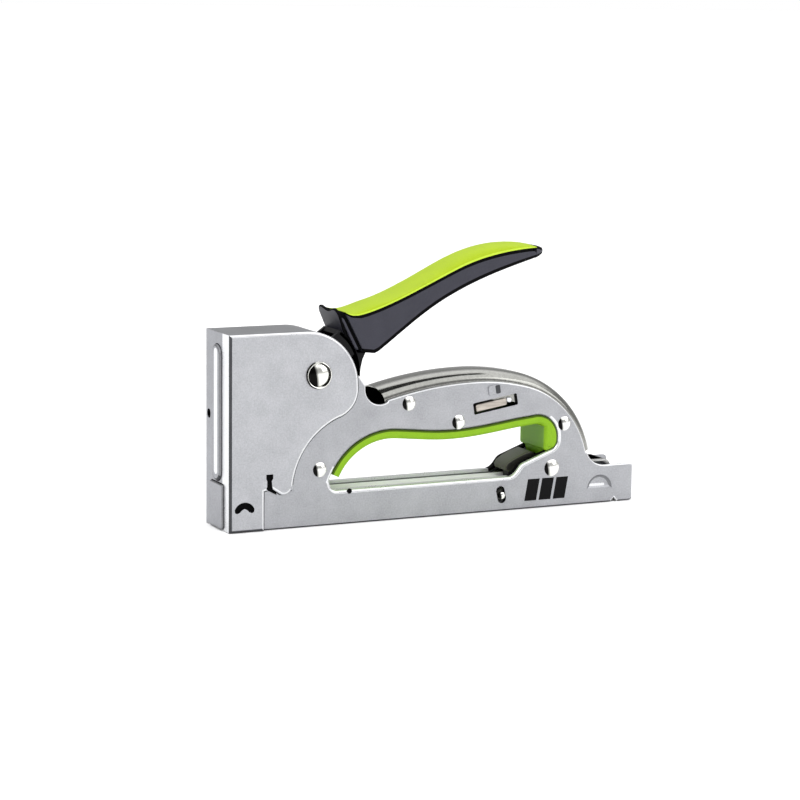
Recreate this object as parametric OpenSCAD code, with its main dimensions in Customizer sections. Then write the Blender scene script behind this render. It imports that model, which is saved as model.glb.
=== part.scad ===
// Hand staple gun with a pressed steel body, a squeeze lever above it and a hand loop below it.
// X runs from the nose to the tail, Y across the body and Z up. The staple leaves at the origin,
// and the gun stands on the plane z = 0. All lengths are millimetres.

/* [Body] */
// Half width over the nose cover
cover_half = 13.25; // [12.8:0.05:14]
// Half width over the side plates
plate_half = 12; // [11.8:0.05:12.3]
// Sheet thickness of the side plates
plate_t = 1.4; // [1.1:0.1:1.4]
// Sheet thickness of the nose cover
cover_t = 1.2; // [0.9:0.05:1.2]
// Height of the nose cover
nose_h = 79.4; // [79:0.2:81]
// Rear end of the tail
tail_x = 182.2; // [181:0.2:186]
// Thickness of the edges that are folded inward
lip_t = 1.2; // [0.8:0.1:1.4]

/* [Handle] */
// Height of the spine's crown above the plates' top edge
crown_h = 4.8; // [3.5:0.1:5.2]
// Thickness of the grip that lines the hand loop
liner_t = 4; // [3:0.1:4.4]
// Length of the window in the handle
window_l = 20.5; // [19.5:0.1:22]
// Height of the window in the handle
window_h = 4.7; // [4.4:0.1:5]
// Tilt of the window, rising to the rear
window_tilt = 9; // [8:0.5:10]

/* [Lever] */
// Half width of the lever
lever_half = 10; // [9.6:0.1:10.4]
// Radius of the pivot rivet's shank
pivot_r = 4; // [3.8:0.05:4.1]
// Radial play of the lever on its pivot
pivot_play = 0.05; // [0.02:0.01:0.1]
// Radius of the round back of the lever's steel core
core_r = 20.5; // [20:0.1:20.6]

/* [Drive] */
// Outer diameter of the mainspring
spring_d = 13; // [12:0.1:13.4]
// Wire diameter of the mainspring
spring_wire = 2.2; // [1.8:0.1:2.2]
// Turns of the mainspring
spring_turns = 5.5; // [5:0.25:5.5]
// Half width of the driver blade
blade_half = 5.3; // [5:0.1:5.4]

/* [Magazine] */
// Half width of the rail that carries the staples
rail_half = 4; // [3.8:0.1:4.1]
// Half width of the magazine channel
channel_half = 6.9; // [6.6:0.1:6.9]
// Height of the magazine channel
channel_h = 12.6; // [12.3:0.1:12.6]
// Turns of the pusher spring
pusher_turns = 40; // [30:1:44]

/* [Hidden] */
$fn = 64;

// Places in the side view, as [x, z]
pivot = [34.8, 61.7];
latch_pivot = [142.6, 16.5];
stud = [119.5, 6.2];
window_mid = [115.5, 45.3];
dot_hole = [49.2, 13.6];
dimple = [166, 6];
front_hole = [9.4, 45.3];
rivets = [[36, 23], [75.6, 47.8], [98.4, 38.7], [148.3, 35.1]];

// Radii and small sizes
rivet_r = 1.6;
rivet_head_r = 3;
rivet_head_h = 1;
pivot_head_r = 5.6;
pivot_head_h = 1.35;
latch_pin_r = 2;
stud_r = 1.45;
slot_r = 2.05;
slot_l = 3.4;
dimple_r = 5.7;
dimple_depth = 0.8;
front_hole_r = 1.5;
rib_half = 4.5;
rib_span = [24, 70];
pad_half = 7;
pad_span = [0.6, 18.6];
hole_play = 0.02;
touch_gap = 0.1;
shank_half = 5;
core_half = 8.5;

// Inner faces and edges that follow from the driving sizes
plate_in = plate_half - plate_t;
cover_in = cover_half - cover_t;
front_x = -3.5;
front_in = front_x + cover_t;
spine_half = plate_in - touch_gap;
lip_in = 8;
tongue_x = 139.4;
loop_bottom = 14;
wing_c = [30, 57];
wing_r = nose_h - wing_c[1];
fold_r = wing_r - 0.03;
cover_top_in = nose_h - cover_t;
seat_z = 50;
plunger_z = 20;
plunger_half = 8.5;
hook_top = 46.1;
cap_z = 75.6;
spring_x = 7;
window_bar_l = window_l - 3;

// The three tangent arcs of the handle's top edge: centre, radius, first and last angle
crest = [107, 54.9];
bend_at = 75;
front_c = crest - [0, 158];
middle_c = crest - [0, 90];
rear_c = middle_c + (90 - 40) * [cos(bend_at), sin(bend_at)];
top_arcs = [
    [front_c, 158, 104.9, 90],
    [middle_c, 90, 90, bend_at],
    [rear_c, 40, bend_at, 13]];
spine_start = 105.3;
spine_depth = 11;
spine_t = 1;
lap = 0.7;

// Points along an arc in the side view
function arc(c, r, a0, a1, n = 16) =
    [for (i = [0:n]) c + r * [cos(a0 + (a1 - a0) * i / n), sin(a0 + (a1 - a0) * i / n)]];

// Points along a cubic curve, without its last point
function curve(p, n = 14) = [for (i = [0:n - 1]) let (t = i / n, s = 1 - t)
    s * s * s * p[0] + 3 * s * s * t * p[1] + 3 * s * t * t * p[2] + t * t * t * p[3]];

// A list of points in the opposite order
function back(p) = [for (i = [len(p) - 1:-1:0]) p[i]];

// The same points moved by v
function moved(p, v) = [for (q = p) q + v];

// Outline of a side plate, from the nose's base over the handle to the tail
plate_outline = concat(
    [[front_in + touch_gap, 0], [front_in + touch_gap, 77]],
    arc(wing_c, wing_r - 1.5, 106, 25),
    arc([62.8, 54.8], 6.8, 170, 298),
    arc(top_arcs[0][0], top_arcs[0][1], top_arcs[0][2], top_arcs[0][3]),
    arc(top_arcs[1][0], top_arcs[1][1], 89, top_arcs[1][3], 10),
    arc(top_arcs[2][0], top_arcs[2][1], 73, top_arcs[2][3], 18),
    arc([168.5, 25.6], 9.6, 205, 270, 10),
    arc([tail_x - 1.5, 14.5], 1.5, 90, 0, 6),
    arc([tail_x - 1.5, 1.5], 1.5, 0, -90, 6),
    [[174.8, 0], [173.2, 1.7], [171.6, 0]]);

// Upper boundary of the hand loop, t inside the plates' edge
function loop_top(t) = concat(
    arc([68, 8], 29.3 - t, 160, 90, 18),
    curve(moved([[70, 37.2], [78, 36.6], [86, 35.3], [94.3, 35.3]], [0, -t])),
    curve(moved([[94.3, 35.3], [106, 35.3], [117, 37.2], [127, 38.5]], [0, -t])),
    arc([135.5, 29.5], 9.8 - t * 0.85, 102, 0, 14));

// Whole outline of the hand loop, t inside the plates' edge
function loop_outline(t) = concat(
    loop_top(t),
    arc([140.8, 28.5], 4.5 - t, 0, -69.6, 8),
    curve(moved([[129.5, 19.5], [126.5, 18.4], [126.5, 14], [121.5, 14]], t * [-0.5, 0.87]), 8),
    arc([44.2, loop_bottom + 3.5], 3.5 - t, 270, 175, 8));

// The points of a list that lie higher than z
function above(p, z) = [for (q = p) if (q[1] > z) q];

// Outline of the grip's wide band before the loop's space is taken out of it
band_outline = concat(
    above(loop_top(0), 20),
    arc([140.8, 28.5], 4.5, 0, -60, 6),
    [[139, 24], [120, 24], [110, 20], [41.3, 20]]);

// Outline of the nose cover's side wings
wing_outline = concat(
    [[front_x, 0], [front_x, nose_h]],
    arc(wing_c, wing_r, 90, 2, 24),
    arc([40.5, 55.4], 12, -4, -69, 12),
    arc([56, 14], 32.3, 110.6, 178, 24),
    arc([20, 17.7], 3.7, -10, -112, 8),
    [[15.1, 16.6], [11.5, 15.9], [11.5, 0]]);

// Lever outline in the side view: crown, underside and the joint between grip and cover
grip_front = 47.4;
grip_rear = 135.4;
lever_crown = concat(
    curve([[46, 86.1], [54, 86], [57, 88.6], [64, 89.9]], 8),
    curve([[64, 89.9], [69, 91.1], [73.5, 92.7], [78, 94.9]], 8),
    curve([[78, 94.9], [91, 100.8], [103.5, 111.5], [124, 111.5]]),
    curve([[124, 111.5], [131, 111.5], [136, 110.6], [140, 108.9]], 8));
lever_under = concat(
    curve([[139.6, 106.3], [127.2, 102.7], [112.4, 98.8], [99.1, 92.5]]),
    curve([[99.1, 92.5], [84.5, 85.9], [74.5, 77.4], [63.5, 69.6]]));
lever_front = concat(
    [[61.5, 68.7], [56.5, 69.2], [55, 69.7], [48.1, 75.9], [43.6, 85.2]],
    arc([45.7, 85.3], 2.2, 170, 100, 5));
grip_joint = concat(
    [[grip_front, 86.1], [48.2, 85.3], [49.4, 84.6], [51, 84.1]],
    curve([[53.4, 84], [64.5, 85.5], [84.5, 95.4], [99, 101.5]]),
    curve([[99, 101.5], [109.5, 105.9], [122.3, 108.3], [grip_rear, 108.9]]));
lever_outline = concat(lever_crown, arc([140, 107.4], 1.5, 75, -75, 6), lever_under, lever_front);
grip_outline = concat(
    [for (p = lever_crown) if (p[0] > grip_front && p[0] < grip_rear) p],
    [[grip_rear, 109.6], [grip_rear, 108.9]],
    back(grip_joint));

// The steel shank that reaches into the lever's plastic cover
shank = [[44, 74.5], [52, 68], [66, 78.5], [98, 96], [94.5, 98], [62, 82]];

// Thickens a side view into a slab from y to y + t
module slab(y, t) {
    translate([0, y + t, 0])
        rotate([90, 0, 0])
            linear_extrude(t)
                children();
}

// A slab centred on the middle plane
module web(half) {
    slab(-half, 2 * half)
        children();
}

// A round bar across the body through a point of the side view
module bar(at, r, half) {
    translate([at[0], -half, at[1]])
        rotate([-90, 0, 0])
            cylinder(h = 2 * half, r = r);
}

// A domed rivet head that stands on the plane y = 0 and points to +Y
module dome(r, h) {
    ball = (r * r + h * h) / (2 * h);
    rotate([-90, 0, 0])
        intersection() {
            translate([0, 0, h - ball])
                sphere(r = ball);
            cylinder(h = h, r = r);
        }
}

// A rivet through the body with a domed head at each end
module rivet(at, shank, head_r, head_h, seat) {
    bar(at, shank, seat);
    for (side = [0, 1])
        mirror([0, side, 0])
            translate([at[0], seat, at[1]])
                dome(head_r, head_h);
}

// A helical spring along +Z, built from rings of wire along the coil
module coil(mean_r, wire_r, turns, height, steps, sides) {
    n = ceil(turns * steps);
    points = [for (i = [0:n], j = [0:sides - 1])
        let (a = 360 * turns * i / n, b = 360 * j / sides, r = mean_r + wire_r * cos(b))
        [r * cos(a), r * sin(a), wire_r + (height - 2 * wire_r) * i / n + wire_r * sin(b)]];
    walls = [for (i = [0:n - 1], j = [0:sides - 1], half = [0, 1])
        let (k = (j + 1) % sides, p = i * sides, q = p + sides)
        half == 0 ? [p + j, q + j, q + k] : [p + j, q + k, p + k]];
    first_cap = [for (j = [1:sides - 2]) [0, j, j + 1]];
    end = n * sides;
    last_cap = [for (j = [1:sides - 2]) [end, end + j + 1, end + j]];
    polyhedron(points = points, faces = concat(walls, first_cap, last_cap), convexity = 10);
}

// One side plate on the +Y side
module side_plate() {
    color([0.76, 0.77, 0.79])
        difference() {
            union() {
                slab(plate_in, plate_t)
                    polygon(plate_outline);
                slab(lip_in, plate_in - lip_in + touch_gap)
                    polygon(loop_outline(-lip_t));
                translate([16, channel_half + touch_gap, 0])
                    cube([147, plate_in - channel_half, lip_t]);
                translate([window_mid[0], plate_half - touch_gap, window_mid[1]])
                    rotate([0, -window_tilt, 0])
                        translate([-2.6, 0, 4.1])
                            cube([5.4, 0.8, 4]);
            }
            slab(lip_in - 1, plate_half - lip_in + 3)
                polygon(loop_outline(0));
            translate([window_mid[0], 0, window_mid[1]])
                rotate([0, -window_tilt, 0])
                    translate([-window_l / 2, 0, -window_h / 2])
                        cube([window_l, 2 * plate_half, window_h]);
            bar(pivot, pivot_r + hole_play, 2 * plate_half);
            for (at = rivets)
                bar(at, rivet_r + hole_play, 2 * plate_half);
            bar(latch_pivot, latch_pin_r + hole_play, 2 * plate_half);
            slab(plate_in - 1, plate_t + 2)
                translate(stud - [0.35, 1.1])
                    rotate(12) {
                        circle(r = slot_r);
                        translate([-slot_r, 0])
                            square([2 * slot_r, slot_l]);
                        translate([0, slot_l])
                            circle(r = slot_r);
                    }
            bar(dot_hole, 1.3, 2 * plate_half);
            slab(plate_half - dimple_depth, 2)
                intersection() {
                    translate(dimple)
                        circle(r = dimple_r);
                    translate(dimple - [dimple_r + 1, 0])
                        square([2 * dimple_r + 2, dimple_r + 1]);
                }
        }
}

// The pressed side plates, each with its folded edges, window and rivet holes
module left_side_plate() {
    mirror([0, 1, 0])
        side_plate();
}

module right_side_plate() {
    side_plate();
}

// The cover that wraps the nose: front, top and two wings
module nose_cover() {
    color([0.8, 0.81, 0.83])
        difference() {
            union() {
                for (side = [0, 1])
                    mirror([0, side, 0])
                        slab(cover_in, cover_t)
                            polygon(wing_outline);
                translate([front_x, -cover_in - touch_gap, 0])
                    cube([cover_t, 2 * (cover_in + touch_gap), nose_h]);
                translate([front_x, -cover_in - touch_gap, cover_top_in])
                    cube([wing_c[0] - front_x + touch_gap, 2 * (cover_in + touch_gap), cover_t]);
                web(cover_in + touch_gap)
                    intersection() {
                        difference() {
                            translate(wing_c)
                                circle(r = fold_r);
                            translate(wing_c)
                                circle(r = fold_r - cover_t);
                        }
                        translate([wing_c[0], cover_top_in - 3])
                            square([7.5, 8]);
                    }
                translate([front_x - 0.9, -pad_half, pad_span[0]])
                    cube([0.9 + touch_gap, 2 * pad_half, pad_span[1] - pad_span[0]]);
                translate([front_x - 1, -rib_half, rib_span[0]])
                    cube([1 + touch_gap, 2 * rib_half, rib_span[1] - rib_span[0]]);
                for (end = rib_span)
                    translate([front_x - 1, 0, end])
                        rotate([0, 90, 0])
                            cylinder(h = 1 + touch_gap, r = rib_half);
            }
            bar(pivot, pivot_r + hole_play, 2 * cover_half);
            web(2 * cover_half) {
                translate([12.2, 16.6])
                    square([2.7, 6]);
                difference() {
                    translate([2.9, 8.4])
                        circle(r = 4.6);
                    translate([2.9, 8.4])
                        circle(r = 2.7);
                    translate([-3, 2])
                        square([12, 7.9]);
                }
            }
            translate([front_x - 1, front_hole[0], front_hole[1]])
                rotate([0, 90, 0])
                    cylinder(h = 3, r = front_hole_r);
        }
}

// Section of the spine: a round crown on two short sides, measured from the plates' top edge
module spine_section(inset) {
    ball = (spine_half * spine_half + crown_h * crown_h) / (2 * crown_h);
    side_h = spine_depth - crown_h;
    difference() {
        intersection() {
            translate([crown_h - ball, 0])
                circle(r = ball - inset);
            translate([inset - side_h, inset - spine_half])
                square([spine_depth, 2 * (spine_half - inset)]);
        }
        intersection() {
            translate([crown_h - ball, 0])
                circle(r = ball - spine_t + inset);
            translate([-side_h - 1, spine_t - inset - spine_half])
                square([spine_depth, 2 * (spine_half - spine_t + inset)]);
        }
    }
}

// The rounded strip that closes the handle's back, in three tangent bends
module handle_spine() {
    color([0.66, 0.67, 0.66])
        difference() {
            union()
                for (k = [0:2])
                    let (from = top_arcs[k][3] - (k == 0 ? lap : 0),
                        to = (k == 0 ? spine_start : top_arcs[k][2]) + (k == 2 ? 2 * lap : 0))
                        translate([top_arcs[k][0][0], 0, top_arcs[k][0][1]])
                            rotate([90, 0, 0])
                                rotate([0, 0, from])
                                    rotate_extrude(angle = to - from, $fn = 180)
                                        translate([top_arcs[k][1], 0])
                                            spine_section(k == 1 ? 0 : 0.05);
            for (at = rivets)
                bar(at, rivet_r + hole_play, plate_half);
            translate([100, -plate_half, 40])
                cube([30, 2 * plate_half, 10.2]);
        }
}

// The soft grip that lines the top and the rear of the hand loop, with its inner web
module loop_grip() {
    color([0.65, 0.81, 0.22])
        difference() {
            union() {
                web(plate_half - touch_gap)
                    difference() {
                        polygon(band_outline);
                        polygon(concat(above(loop_top(liner_t), 15), [[141.5, 18], [40, 14]]));
                    }
                web(lip_in - touch_gap)
                    difference() {
                        polygon(concat(
                            above(loop_top(-4), 24),
                            [[149.3, 20.7], [139, 20.7], [120, 30], [44.5, 24]]));
                        polygon(concat(
                            [for (p = loop_top(liner_t)) if (p[1] > (p[0] > 130 ? 32.3 : 17)) p],
                            [[tongue_x, 30], [tongue_x, 14], [40, 14]]));
                    }
            }
            bar(rivets[2], rivet_r + hole_play, plate_half);
            bar(rivets[3], rivet_r + hole_play, plate_half);
        }
}

// The tubular rivet that the lever turns on
module pivot_rivet() {
    color([0.88, 0.89, 0.9])
        difference() {
            rivet(pivot, pivot_r, pivot_head_r, pivot_head_h, cover_half);
            bar(pivot, 2.2, cover_half - 3);
        }
}

// The rivets that hold the two side plates together
module body_rivets() {
    color([0.88, 0.89, 0.9])
        for (at = rivets)
            rivet(at, rivet_r, rivet_head_r, rivet_head_h, plate_half);
}

// The larger rivet that carries the magazine latch
module latch_pin() {
    color([0.88, 0.89, 0.9])
        rivet(latch_pivot, latch_pin_r, 3.5, rivet_head_h, plate_half);
}

// The flat guide behind the nose that the blade slides down
module driver_guide() {
    color([0.6, 0.61, 0.63])
        translate([front_in + touch_gap, -10.5, 0.6])
            cube([1.55, 21, 76.4]);
}

// The fixed seat above the mainspring
module spring_cap() {
    color([0.55, 0.56, 0.58]) {
        translate([-0.6, -10.5, cap_z])
            cube([14.6, 21, cover_top_in - cap_z - touch_gap]);
        translate([spring_x, 0, cap_z - 3])
            cylinder(h = 3.5, r = spring_d / 2 - spring_wire - 0.4);
    }
}

// The compression spring that drives the plunger down
module mainspring() {
    color([0.45, 0.46, 0.48])
        translate([spring_x, 0, seat_z + 0.05])
            coil(
                mean_r = (spring_d - spring_wire) / 2,
                wire_r = spring_wire / 2,
                turns = spring_turns,
                height = cap_z - seat_z - touch_gap,
                steps = 16,
                sides = 8);
}

// The rubber block that the plunger lands on
module bumper() {
    color([0.12, 0.12, 0.13])
        translate([3, -8, channel_h + touch_gap])
            difference() {
                cube([10, 16, 7]);
                for (x = [0, 10])
                    translate([x, 8, 3.5])
                        rotate([90, 0, 0])
                            cylinder(h = 20, r = 1, center = true);
            }
}

// The fixed tube that the magazine rail slides into
module magazine_channel() {
    color([0.68, 0.68, 0.67])
        difference() {
            translate([0.8, -channel_half, 0])
                cube([164.2, 2 * channel_half, channel_h]);
            translate([-1, 1 - channel_half, 1])
                cube([168, 2 * (channel_half - 1), channel_h - 2]);
            translate([123, -3.2, channel_h - 2])
                cube([11, 6.4, 4]);
        }
}

// Side view of the crank's hooked arm, which lifts the plunger
crank_arm = [
    [10.5, 46], [13.6, 46], [18.5, 47.2], [25, 55], [29, 63],
    [38, 57], [36, 54], [22, 44], [15, 41.2], [10.5, 42]];

// The part of the core's round back that shows between the lever and the body
core_sector = concat([pivot], arc(pivot, core_r, -6, 56));

// The hollow corner where the core's round back meets the lever's underside
collar = [[50, 68], [53, 69.5], [57.6, 69.2], [56.3, 66.4], [55.5, 63], [55.1, 59.8], [51, 62]];

// The lever's steel core: two cheeks, a round back, a lifting crank and a shank in the handle
module lever_core() {
    color([0.13, 0.13, 0.14])
        difference() {
            union() {
                for (side = [0, 1])
                    mirror([0, side, 0])
                        slab(core_half - 2, 2) {
                            polygon(core_sector);
                            translate(pivot)
                                circle(r = 8.5);
                        }
                web(core_half)
                    difference() {
                        polygon(core_sector);
                        translate(pivot)
                            circle(r = core_r - 2);
                    }
                web(7)
                    translate(pivot)
                        circle(r = 7);
                web(core_half)
                    polygon(collar);
                web(4) {
                    polygon(crank_arm);
                    translate([10.5, 44])
                        circle(r = 2);
                }
                web(shank_half)
                    polygon(shank);
            }
            bar(pivot, pivot_r + pivot_play, plate_half);
        }
}

// Plan view of the lever: parallel sides that taper to a round tip
module lever_plan() {
    polygon(concat(
        [[40, -lever_half], [75, -lever_half], [120, 1 - lever_half]],
        arc([132.5, 0], 9, -75, 75, 18),
        [[120, lever_half - 1], [75, lever_half], [40, lever_half]]));
}

// Everything between the lever's plan and its side view
module lever_solid(outline) {
    intersection() {
        web(lever_half + 1)
            polygon(outline);
        translate([0, 0, 60])
            linear_extrude(60)
                lever_plan();
    }
}

// The moulded plastic body of the lever
module lever_cover() {
    color([0.31, 0.31, 0.35])
        difference() {
            lever_solid(lever_outline);
            web(2 * lever_half)
                polygon(grip_outline);
            web(shank_half)
                polygon(shank);
            bar(pivot, core_r + touch_gap, core_half + touch_gap);
            web(core_half + touch_gap)
                polygon([[50, 66], [50, 69.8], [58.2, 69.8], [58.2, 66]]);
        }
}

// The softer grip on top of the lever
module lever_grip() {
    color([0.74, 0.87, 0.31])
        lever_solid(grip_outline);
}

// The light torsion spring that lifts the lever again
module return_spring() {
    color([0.45, 0.46, 0.48])
        translate([pivot[0], 8.6, pivot[1]])
            rotate([-90, 0, 0])
                coil(5.6, 0.3, 2, 1.9, 24, 6);
}

// The hammer that carries the blade: front plate, two cheeks and the spring's seat
module plunger() {
    color([0.5, 0.51, 0.53]) {
        translate([0.5, -plunger_half, plunger_z])
            cube([2, 2 * plunger_half, seat_z - plunger_z]);
        translate([0.5, -plunger_half, plunger_z])
            cube([12.5, 2 * plunger_half, 2.5]);
        for (side = [0, 1])
            mirror([0, side, 0])
                translate([0.5, 5, plunger_z])
                    cube([12.5, 2, seat_z - plunger_z]);
        translate([0.5, -plunger_half, hook_top])
            cube([13, 2 * plunger_half, seat_z - hook_top]);
        translate([spring_x, 0, seat_z - 1])
            cylinder(h = 3, r = spring_d / 2 - spring_wire - 0.4);
    }
}

// The flat blade that pushes the staple out
module driver_blade() {
    color([0.7, 0.71, 0.73])
        translate([-0.6, -blade_half, 1])
            cube([1.1, 2 * blade_half, 43]);
}

// The rail that the staples sit astride, open below and slotted on top
module magazine_rail() {
    color([0.72, 0.72, 0.71])
        difference() {
            translate([0.9, -rail_half, 1.3])
                cube([164.7, 2 * rail_half, 8.3]);
            translate([-1, 1 - rail_half, 0])
                cube([163, 2 * (rail_half - 1), 8.6]);
            translate([-1, -1.5, 5])
                cube([161, 3, 6]);
        }
}

// The rod that guides the pusher's spring
module guide_rod() {
    color([0.8, 0.81, 0.82])
        translate([2.5, 0, 5.5])
            rotate([0, 90, 0])
                cylinder(h = 159.5, r = 1.2);
}

// The end piece that closes the tail, with its pull tab
module magazine_cap() {
    color([0.72, 0.73, 0.74])
        difference() {
            union() {
                translate([165.6, -10.3, 1.3])
                    cube([12.9, 20.6, 11.9]);
                web(7)
                    polygon(concat(
                        [[163, 13], [163, 17.6]],
                        arc([171, 14.4], 3.2, 90, 0, 8),
                        [[174.2, 13]]));
            }
            web(5.8)
                polygon([[161, 14.2], [161, 16.6], [169.6, 16.6], [172, 14.2]]);
            translate([167, -9, 2.5])
                cube([14, 18, 9.4]);
        }
}

// The long light spring behind the pusher
module pusher_spring() {
    color([0.5, 0.51, 0.53])
        translate([11.3, 0, 5.5])
            rotate([0, 90, 0])
                coil(1.95, 0.3, pusher_turns, 150.5, 10, 5);
}

// The saddle that pushes the staples forward
module pusher() {
    color([0.75, 0.68, 0.45])
        difference() {
            union() {
                difference() {
                    translate([1.2, -5.3, 2.2])
                        cube([10, 10.6, 8.8]);
                    translate([0, -rail_half - 0.15, 0])
                        cube([14, 2 * rail_half + 0.3, 9.75]);
                }
                translate([1.2, -1.3, 7])
                    cube([10, 2.6, 3.5]);
                translate([1.2, -2.8, 3.2])
                    cube([10, 5.6, 5]);
            }
            translate([0, 0, 5.5])
                rotate([0, 90, 0])
                    cylinder(h = 14, r = 1.28);
        }
}

// Side view of the latch's thumb piece, from its front tip over the top to its underside
thumb_outline = [
    [123, 16.8], [124.4, 18.3], [127.2, 20], [131.4, 21.9], [135.6, 23.2], [137.4, 22.5],
    [138.2, 19.6], [142.6, 20.2], [142.6, 12.8], [131, 14.2], [125.4, 15]];

// The black latch in the hand loop that frees the magazine, with its two side arms
module magazine_latch() {
    color([0.16, 0.16, 0.15])
        difference() {
            union() {
                web(6)
                    polygon(thumb_outline);
                bar(latch_pivot, 3.7, 8.5);
                translate([127, -2.5, 11.5])
                    cube([3, 5, 4.5]);
                for (side = [0, 1])
                    mirror([0, side, 0])
                        slab(8.4, 1.9) {
                            translate(latch_pivot)
                                circle(r = 3.4);
                            translate(stud)
                                circle(r = 2.3);
                            polygon([
                                stud + [-0.9, 2.1], latch_pivot + [-1.4, 3.1],
                                latch_pivot + [1.4, -3.1], stud + [1, -2.1]]);
                        }
            }
            bar(latch_pivot, latch_pin_r + 0.06, plate_half);
            bar(latch_pivot, 5, 2.6);
        }
}

// The two studs on the latch's arms, which move in the plates' oval holes
module latch_studs() {
    color([0.85, 0.86, 0.87])
        for (side = [0, 1])
            mirror([0, side, 0])
                translate([stud[0], 10.3, stud[1]])
                    rotate([-90, 0, 0])
                        cylinder(h = 1.9, r = stud_r);
}

// The small torsion spring on the latch's pin
module latch_spring() {
    color([0.45, 0.46, 0.48])
        translate([latch_pivot[0], -2.4, latch_pivot[1]])
            rotate([-90, 0, 0])
                coil(2.8, 0.35, 5, 4.8, 14, 6);
}

// The slide that shows in the handle's windows
module selector_slide() {
    color([0.78, 0.74, 0.7])
        translate([window_mid[0], 0, window_mid[1]])
            rotate([0, -window_tilt, 0])
                translate([-1, 0, -0.1])
                    web(plate_half - 0.5) {
                        translate([-window_bar_l / 2, -1.9])
                            square([window_bar_l - 1.9, 3.8]);
                        translate([window_bar_l / 2 - 1.9, 0])
                            circle(r = 1.9);
                    }
}

left_side_plate();
right_side_plate();
nose_cover();
handle_spine();
loop_grip();
pivot_rivet();
body_rivets();
latch_pin();
driver_guide();
spring_cap();
mainspring();
bumper();
magazine_channel();
lever_core();
lever_cover();
lever_grip();
return_spring();
plunger();
driver_blade();
magazine_rail();
guide_rod();
magazine_cap();
pusher_spring();
pusher();
magazine_latch();
latch_studs();
latch_spring();
selector_slide();
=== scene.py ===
"""Looks of a hand staple gun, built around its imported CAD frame.

X runs from the nose to the tail, Y across the body and Z up. Shapes are written in millimetres,
as the CAD source is, and turned to metres where a mesh is made.
"""

import math

import bmesh
import bpy
from mathutils import Matrix, Vector
from mathutils.geometry import tessellate_polygon


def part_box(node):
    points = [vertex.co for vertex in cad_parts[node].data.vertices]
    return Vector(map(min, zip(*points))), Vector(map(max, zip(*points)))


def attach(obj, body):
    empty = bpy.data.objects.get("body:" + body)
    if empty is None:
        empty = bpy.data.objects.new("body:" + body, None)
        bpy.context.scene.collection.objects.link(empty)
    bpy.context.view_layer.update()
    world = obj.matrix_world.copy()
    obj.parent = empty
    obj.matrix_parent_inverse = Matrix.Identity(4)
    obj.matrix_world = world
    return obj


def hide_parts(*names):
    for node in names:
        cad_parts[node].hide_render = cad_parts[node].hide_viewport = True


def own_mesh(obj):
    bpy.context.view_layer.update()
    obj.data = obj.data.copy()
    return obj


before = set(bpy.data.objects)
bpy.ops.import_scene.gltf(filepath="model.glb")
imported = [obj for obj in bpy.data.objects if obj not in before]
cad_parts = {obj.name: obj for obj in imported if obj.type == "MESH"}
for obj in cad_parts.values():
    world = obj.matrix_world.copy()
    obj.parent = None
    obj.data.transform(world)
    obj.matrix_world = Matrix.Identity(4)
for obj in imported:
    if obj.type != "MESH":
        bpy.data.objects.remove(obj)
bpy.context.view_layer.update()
MM = 0.001


# ---------------------------------------------------------------- sizes from the frame

def box_mm(node):
    """Low and high corner of a CAD node, in millimetres."""
    low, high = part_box(node)
    return low / MM, high / MM


# Side plates: outer face, inner face, the folded lip's inner edge and the tail's end
PLATE_HALF = 12.0
PLATE_IN = PLATE_HALF - 1.4
LIP_IN = 8.0
TAIL_X = box_mm("left_side_plate")[1].x

# Nose cover: outer face, sheet thickness, front face, top, and the round of its wings
COVER_HALF = box_mm("nose_cover")[1].y
COVER_T = 1.2
COVER_IN = COVER_HALF - COVER_T
FRONT_X = -3.5
NOSE_H = box_mm("nose_cover")[1].z
WING_C = (30, 57)
WING_R = NOSE_H - WING_C[1]
FRONT_HOLE = (9.4, 45.3)
FRONT_HOLE_R = 1.9

# Rivets and pins: places in the side view, shank radii and the play of their holes
PIVOT = (34.8, 61.7)
PIVOT_SHANK = 4
LATCH_PIVOT = (142.6, 16.5)
LATCH_SHANK = 2
RIVETS = [(36, 23), (75.6, 47.8), (98.4, 38.7), (148.3, 35.1)]
RIVET_SHANK = 1.6
HOLE_PLAY = 0.02
STUD = (119.5, 6.2)
OVAL_R = 1.9
OVAL_LENGTH = 3.4
OVAL_TILT = 12

# Handle: the strip along its back and the window in its side
SPINE_HALF = box_mm("handle_spine")[1].y
CROWN_H = 4.8
WINDOW_MID = (115.5, 45.3)
WINDOW_TILT = 9


# ---------------------------------------------------------------- outlines

def arc(centre, radius, first, last, steps=16):
    """Points along an arc in the side view, angles in degrees."""
    out = []
    for i in range(steps + 1):
        a = math.radians(first + (last - first) * i / steps)
        out.append((centre[0] + radius * math.cos(a), centre[1] + radius * math.sin(a)))
    return out


def curve(p, steps=16):
    """Points along a cubic curve, without its last point."""
    out = []
    for i in range(steps):
        t = i / steps
        s = 1 - t
        w = (s * s * s, 3 * s * s * t, 3 * s * t * t, t * t * t)
        out.append(tuple(sum(w[k] * p[k][j] for k in range(4)) for j in range(2)))
    return out


def moved(points, v):
    """The same points moved by v."""
    return [(p[0] + v[0], p[1] + v[1]) for p in points]


def turned(points, place, degrees):
    """Points drawn about the origin, turned and set down at a place in the side view."""
    c, s = math.cos(math.radians(degrees)), math.sin(math.radians(degrees))
    return [(place[0] + p[0] * c - p[1] * s, place[1] + p[0] * s + p[1] * c) for p in points]


# The handle's back is three arcs that run into each other
CREST = (107, 54.9)
FRONT_R = 158
FRONT_C = (CREST[0], CREST[1] - FRONT_R)
MIDDLE_R = 90
MIDDLE_C = (CREST[0], CREST[1] - MIDDLE_R)
BEND_AT = 75
REAR_R = 40
REAR_C = arc(MIDDLE_C, MIDDLE_R - REAR_R, BEND_AT, BEND_AT, 1)[0]
SPINE_START = 105.3

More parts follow.
